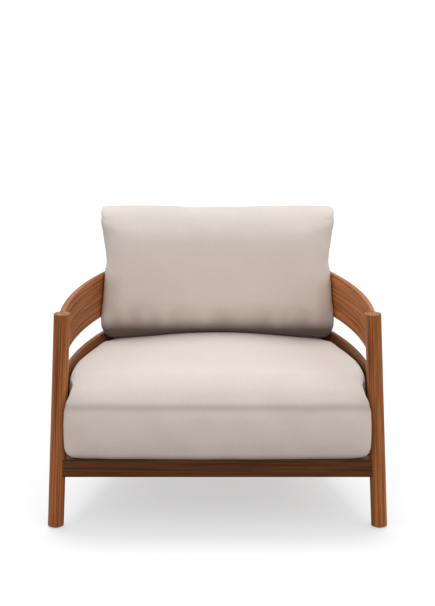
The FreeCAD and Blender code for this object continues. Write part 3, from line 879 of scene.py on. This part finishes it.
def back_insets(level):
    """How far the front, the rear and the sides lie inside the cushion's box at a height."""
    top = edge_round(back_top - level, back_roll, back_roll)
    lean = back_lean * max(0.0, (level - back_lean_start) / (back_top - back_lean_start)) ** 2
    foot = edge_round(level - back_low, foot_rise, foot_run)
    return top + lean + foot, top + 0.3 * lean + foot, 0.05 * top + 0.3 * foot


def back_ring(level):
    """A level outline. The sides turn from the bands' line to straight ones above the arms."""
    inset, rear_inset, side_inset = (float(value) for value in back_insets(level))
    free = min(max((level - arm_height) / (back_top - back_roll - arm_height), 0.0), 1.0)
    face = back_front + (level - back_low) * back_slope
    front = (face + inset, back_front_bow, cushion_corner)
    free_rear = (face + back_depth - rear_inset, back_rear_bow, back_rear_corner)
    band_rear = rear_along_band(side_offset + 0.4 * rear_inset)
    rear = [low + free * (high - low) for low, high in zip(band_rear, free_rear)]
    half_width = float(np.interp(level, width_levels, half_widths))
    shoulder = Vector((half_width - side_inset, face + shoulder_depth))
    centre = side_centre.lerp(Vector((free_side_centre, shoulder.y + free_side_depth)), free)
    side = (centre, (shoulder - centre).length)
    return [(place.x, place.y, level) for place in outline(front, rear, side)]


def back_rings():
    """Rings up the rolled foot, up the body and over the rolled top."""
    steps = [foot_rise * (1 - math.cos(math.radians(turn))) for turn in (0, 18, 34, 50, 64, 78, 90)]
    levels = [back_low + step for step in steps]
    low, high = levels[-1], back_top - back_roll
    levels += [low + (high - low) * number / 12 for number in range(1, 12)]
    levels += [high + back_roll * math.sin(math.radians(turn)) for turn in (0, 15, 30, 45, 60, 75, 86)]
    return [back_ring(level) for level in levels]


back_cushion = ringed_mesh("back_cushion_cloth", back_rings())
print("back form from", round(back_low, 4), "to", round(back_top, 4))

# %% [markdown]
# ## Filling the covers
# A cover is flat cloth that its filling stretches. Each form is remeshed into even cells, and
# Blender's cloth then swells it with a little inner pressure and no gravity. A cap keeps every
# point near its start, so the cushion still fits between posts and bands. Averaging the movement
# between neighbours takes out the small dents that firm foam would press out of real cloth.

# %% Cloth simulation
def remeshed(piece, cell):
    modifier = piece.modifiers.new("even_cells", "REMESH")
    modifier.mode = "VOXEL"
    modifier.voxel_size = cell
    graph = bpy.context.evaluated_depsgraph_get()
    even = bpy.data.meshes.new_from_object(piece.evaluated_get(graph))
    piece.modifiers.remove(modifier)
    piece.data = even


def points_of(piece):
    places = np.empty(len(piece.data.vertices) * 3)
    piece.data.vertices.foreach_get("co", places)
    return places.reshape(-1, 3)


def set_points(piece, places):
    piece.data.vertices.foreach_set("co", places.ravel())
    piece.data.update()


def averaged(piece, values, rounds):
    """Averages a value of each point with its neighbours' values, a number of times."""
    pairs = np.empty(len(piece.data.edges) * 2, dtype=np.int64)
    piece.data.edges.foreach_get("vertices", pairs)
    first, second = pairs.reshape(-1, 2).T
    shares = np.bincount(pairs, minlength=len(values))[:, None].astype(float)
    for _ in range(rounds):
        total = np.zeros_like(values)
        for axis in range(values.shape[1]):
            total[:, axis] += np.bincount(first, values[second, axis], len(values))
            total[:, axis] += np.bincount(second, values[first, axis], len(values))
        values = 0.5 * values + 0.5 * total / shares
    return values


def swollen(piece, held, pressure, cap, sideways, frames=20):
    """Swells a cushion. held marks points that stay, and cap is how far a point may move."""
    start = points_of(piece)
    group = piece.vertex_groups.new(name="held")
    group.add([int(number) for number in np.nonzero(held)[0]], 1.0, "REPLACE")
    cloth = piece.modifiers.new("cover_cloth", "CLOTH")
    settings = cloth.settings
    settings.quality = 4
    settings.mass = 0.3
    settings.tension_stiffness = 18.0
    settings.compression_stiffness = 18.0
    settings.bending_stiffness = 1.2
    settings.use_pressure = True
    settings.uniform_pressure_force = pressure
    settings.effector_weights.gravity = 0.0
    settings.vertex_group_mass = "held"
    scene = bpy.context.scene
    scene.frame_start, scene.frame_end = 1, frames
    for number in range(1, frames + 1):
        scene.frame_set(number)
    graph = bpy.context.evaluated_depsgraph_get()
    settled = piece.evaluated_get(graph).to_mesh()
    places = np.empty(len(settled.vertices) * 3)
    settled.vertices.foreach_get("co", places)
    piece.evaluated_get(graph).to_mesh_clear()
    piece.modifiers.remove(cloth)
    scene.frame_set(1)
    moved = places.reshape(-1, 3) - start
    length = np.linalg.norm(moved, axis=1, keepdims=True)
    moved *= np.minimum(1.0, cap / np.maximum(length, 1e-9))
    moved[:, 0] *= sideways
    set_points(piece, averaged(piece, start, 6) + averaged(piece, moved, 24))
    print(piece.name, "points", len(start), "moved up to", round(float(length.max()), 4), "cap", cap)


cell = 0.006
swell_pressure = 4.0
swell_cap = 0.010
swell_sideways = 0.3
held_skin = 0.003
for piece in (seat_cushion, back_cushion):
    remeshed(piece, cell)
seat_start = points_of(seat_cushion)
back_start = points_of(back_cushion)
seat_held = (np.abs(seat_start[:, 2] - seat_seam) < 0.004) | (seat_start[:, 2] < seat_low + held_skin)
back_held = back_start[:, 2] < back_low + held_skin
for piece, held in ((seat_cushion, seat_held), (back_cushion, back_held)):
    swollen(piece, held, swell_pressure, swell_cap, swell_sideways)

# %% [markdown]
# ## Sewing and seating
# The sewing comes after the swelling. A loose cushion is squeezed between posts and bands, so its
# points are kept clear of them, also on the way up, when someone lifts it out. Its zip lies in a
# shallow pocket underneath. These helpers serve both cushions.

# %% Helpers for seams, clearances and zip pockets
band_clear = 0.0075
post_clear = 0.0015
hold_end, hold_fade = 0.006, 0.060
pocket_room, pocket_fade = 0.010, 0.006
pocket_gap = 0.001
smoothing_rounds = 40


def pulled_in(places, weight, depth):
    """Moves points level towards the cushion's middle."""
    inward = -places[:, :2] / np.maximum(np.linalg.norm(places[:, :2], axis=1, keepdims=True), 1e-6)
    places[:, :2] += inward * (weight * depth)[:, None]


def clear_of_frame(places):
    """Keeps points inside the bands and outside the posts' way up, less and less above the arms."""
    x, y = np.abs(places[:, 0]), places[:, 1]
    sign = np.where(places[:, 0] < 0, -1.0, 1.0)
    hold = 1 - eased((places[:, 2] - arm_height - hold_end) / hold_fade)
    turn = np.arctan2(y - corner_centre.y, x - corner_centre.x)
    centres = [(side_centre, side_radius, turn <= side_turn), (back_centre, back_radius, turn >= back_turn),
               (corner_centre, corner_radius, (turn > side_turn) & (turn < back_turn))]
    for centre, radius, region in centres:
        dx, dy = x - centre.x, y - centre.y
        reach = np.hypot(dx, dy)
        over = region & (y > front_line) & (reach > radius - band_clear)
        scale = np.where(over, 1 + hold * ((radius - band_clear) / np.maximum(reach, 1e-9) - 1), 1.0)
        x, y = centre.x + dx * scale, centre.y + dy * scale
    for post_x, post_y in ((half_spread, front_line), (rear_top.x, rear_top.y)):
        dx, dy = x - post_x, y - post_y
        reach = np.hypot(dx, dy)
        over = reach < post_radius + post_clear
        scale = np.where(over, 1 + hold * ((post_radius + post_clear) / np.maximum(reach, 1e-9) - 1), 1.0)
        x, y = post_x + dx * scale, post_y + dy * scale
    places[:, 0], places[:, 1] = x * sign, y


def zip_pocket(places, node, bottom):
    """Lifts the lower skin over a zip, so that the zip lies in a shallow pocket."""
    low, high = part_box(node)
    middle, half = (low + high) / 2, (high - low) / 2
    lengthwise = eased((half.x + pocket_room - np.abs(places[:, 0] - middle.x)) / pocket_fade)
    across = eased((half.y + pocket_room - np.abs(places[:, 1] - middle.y)) / pocket_fade)
    lift = lengthwise * across
    roof = bottom + (high.z + pocket_gap - bottom) * lift
    skin = (places[:, 2] < bottom + 0.02) & (lift > 0)
    places[:, 2] = np.where(skin, np.maximum(places[:, 2], roof), places[:, 2])


def finish_cushion(piece, places, tone, body, nodes):
    """Sets a cushion's points and its painted shade, kept in the point attribute tone, and hands it to its
    body.
    """
    set_points(piece, places)
    piece.data.attributes.new("tone", "FLOAT", "POINT").data.foreach_set("value", tone)
    piece.data.shade_smooth()
    piece.data.materials.clear()
    piece.data.materials.append(cover_cloth)
    finer = piece.modifiers.new("finer_cloth", "SUBSURF")
    finer.levels = finer.render_levels = 1
    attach(piece, body)
    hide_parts(*nodes)


def below(values, ceiling, softness):
    """Values kept under a ceiling, with a soft bend where they meet it."""
    return -softness * np.logaddexp(-values / softness, -ceiling / softness)


def uneven(places, size, height):
    """Slow soft waves of a filling, along the three axes."""
    x, y, z = places.T / size
    wide = np.sin(1.7 * x + 0.9 * z + 0.4) * np.sin(1.3 * y + 1.1)
    return height * (wide + 0.6 * np.sin(2.9 * x - 1.7 * y + 2.3 * z))


# %% [markdown]
# ## Sewing the seat cushion
# The seat's top panel is sewn to its side strip, and the seam pulls the cloth in. Its nose swells out
# in front of the posts, and its top is pressed down where the back cushion stands. A point attribute
# called tone paints shade into the cloth along the seam and along the bottom edge, where little light
# reaches.

# %% Sew and seat the seat cushion
nose_levels = (0.197, 0.212, 0.232, 0.253, 0.295, 0.337, 0.358, 0.372, 0.390)
nose_widths = (0.401, 0.4055, 0.4085, 0.4090, 0.4085, 0.4060, 0.4020, 0.397, 0.388)
nose_start_width = 0.393
nose_line, nose_fade = 0.014, 0.010
nose_corner, nose_corner_fade = 0.33, 0.05
seam_width, seam_pull = 0.007, 0.0014
painted_seam_shade, painted_seam_shade_width = 0.28, 0.011
painted_edge_shade, painted_edge_shade_width = 0.55, 0.013
front_wave, front_wave_size = 0.0008, 0.055
top_wave, top_wave_size = 0.0006, 0.060
top_softness = 0.003
pressed_line = front_line + 0.39
seat_places = points_of(seat_cushion)
x, y, z = seat_places.T
before_posts = eased((front_line - nose_line - y) / nose_fade)
in_front = before_posts * eased((np.abs(x) - nose_corner) / nose_corner_fade)
seat_places[:, 0] += np.sign(x) * in_front * (np.interp(z, nose_levels, nose_widths) - nose_start_width)
pulled_in(seat_places, np.exp(-((z - seat_seam) / seam_width) ** 2), seam_pull)
clear_of_frame(seat_places)
seat_places[:, 1] += uneven(seat_places, front_wave_size, front_wave) * (y < front_line)
hollows = uneven(seat_places, top_wave_size, top_wave) ** 2 / top_wave
ceiling = seat_dome(seat_places[:, 0], seat_places[:, 1]) - hollows
seat_places[:, 2] = np.maximum(below(seat_places[:, 2], ceiling, top_softness), seat_low)
# Painted shade: the cloth is darkened along the seam crease and along the bottom edge on the deck, where
# shade falls.
seam_painted_shade = painted_seam_shade * np.exp(-((z - seat_seam) / painted_seam_shade_width) ** 2)
seat_painted_shade = seam_painted_shade + painted_edge_shade * np.exp(-((z - seat_low) / painted_edge_shade_width) ** 2)
on_top = eased((z - seat_seam - 0.012) / 0.02) * eased((side_distance(x, y) - 0.02) / 0.03)
seat_places += (averaged(seat_cushion, seat_places, smoothing_rounds) - seat_places) * on_top[:, None]
pressed_top = (seat_places[:, 1] > pressed_line) & (seat_places[:, 2] > seat_seam)
seat_roof = seat_dome(seat_places[:, 0], seat_places[:, 1])
seat_places[:, 2] = np.where(pressed_top, np.minimum(seat_places[:, 2], seat_roof), seat_places[:, 2])
zip_pocket(seat_places, "seat_zip", seat_low)
finish_cushion(seat_cushion, seat_places, seat_painted_shade, "seat_cushion", ("seat_cover", "seat_foam"))
print("seat cushion sewn, points", len(seat_places))

# %% [markdown]
# ## Sewing the back cushion
# The back cushion sinks over the domed seat, with small gathers above its foot and a fold at each upper
# corner. Round its zip the underside stays level, so that the zip isn't buried. Its foot has painted
# shadow at the front, where it meets the seat, and the corner folds get a little painted shade.

# %% Sew and seat the back cushion
back_half_width = 0.33
corner_rise, corner_level = 0.004, 0.70
fold_level, fold_slope, fold_width, fold_depth = 0.752, 0.10, 0.004, 0.004
gather_level, gather_width, gather_depth = 0.034, 0.030, 0.0030
sink_height = 0.09
rest_gap = 0.0012
painted_foot_shadow, painted_foot_shadow_height, painted_foot_shadow_wander = 0.93, 0.029, 0.004
painted_fold_shade = 0.10
back_places = points_of(back_cushion)
x, y, z = back_places.T
back_places[:, 2] += corner_rise * (np.abs(x) / back_half_width) ** 2 * eased((z - corner_level) / 0.06)
front_side = 1 - eased((y - front_line - 0.435) / 0.050)
sink = (seat_dome(x, y) - seat_high) * away_from_zip(x, y)
sink_line = back_low + 0.004
back_places[:, 2] += sink * np.exp(-np.maximum(z - back_low, 0.0) / sink_height)
wander = np.sin(x * 37.0 + 0.8) * np.sin(x * 17.0 + 2.1) + 0.5 * np.sin(x * 61.0)
gathers = np.sin(x * 71.0 + 0.6) * np.sin(x * 29.0 + 1.9) + 0.6 * np.sin(x * 113.0 + 4.0)
gathered = np.exp(-((z - back_low - gather_level) / gather_width) ** 2) * (y < front_line + 0.45)
back_places[:, 1] += gather_depth * gathers * gathered
fold_line = fold_level - fold_slope * (np.abs(x) - back_half_width)
fold = np.exp(-((z - fold_line) / fold_width) ** 2) * eased((np.abs(x) - 0.290) / 0.04)
pulled_in(back_places, fold, fold_depth)
clear_of_frame(back_places)
above_arms = eased((z - arm_height - 0.008) / 0.03) * eased((0.73 - z) / 0.03)
back_places += (averaged(back_cushion, back_places, smoothing_rounds) - back_places) * above_arms[:, None]
rest = seat_dome(back_places[:, 0], back_places[:, 1]) + rest_gap
back_places[:, 2] = np.clip(back_places[:, 2], rest, back_high + 0.002)
# Painted shadow: the foot's front is darkened in a wavering band where it meets the seat, and the corner
# folds get a little painted shade.
shade_height = painted_foot_shadow_height + painted_foot_shadow_wander * wander
painted_contact_shadow = np.exp(-(np.maximum(z - sink_line, 0.0) / shade_height) ** 1.3) * front_side
back_painted_shade = np.clip(painted_fold_shade * fold + painted_foot_shadow * painted_contact_shadow, 0.0, painted_foot_shadow)
zip_pocket(back_places, "back_zip", back_low)
finish_cushion(back_cushion, back_places, back_painted_shade, "back_cushion", ("back_cover", "back_filling"))
print("back cushion sewn, points", len(back_places))
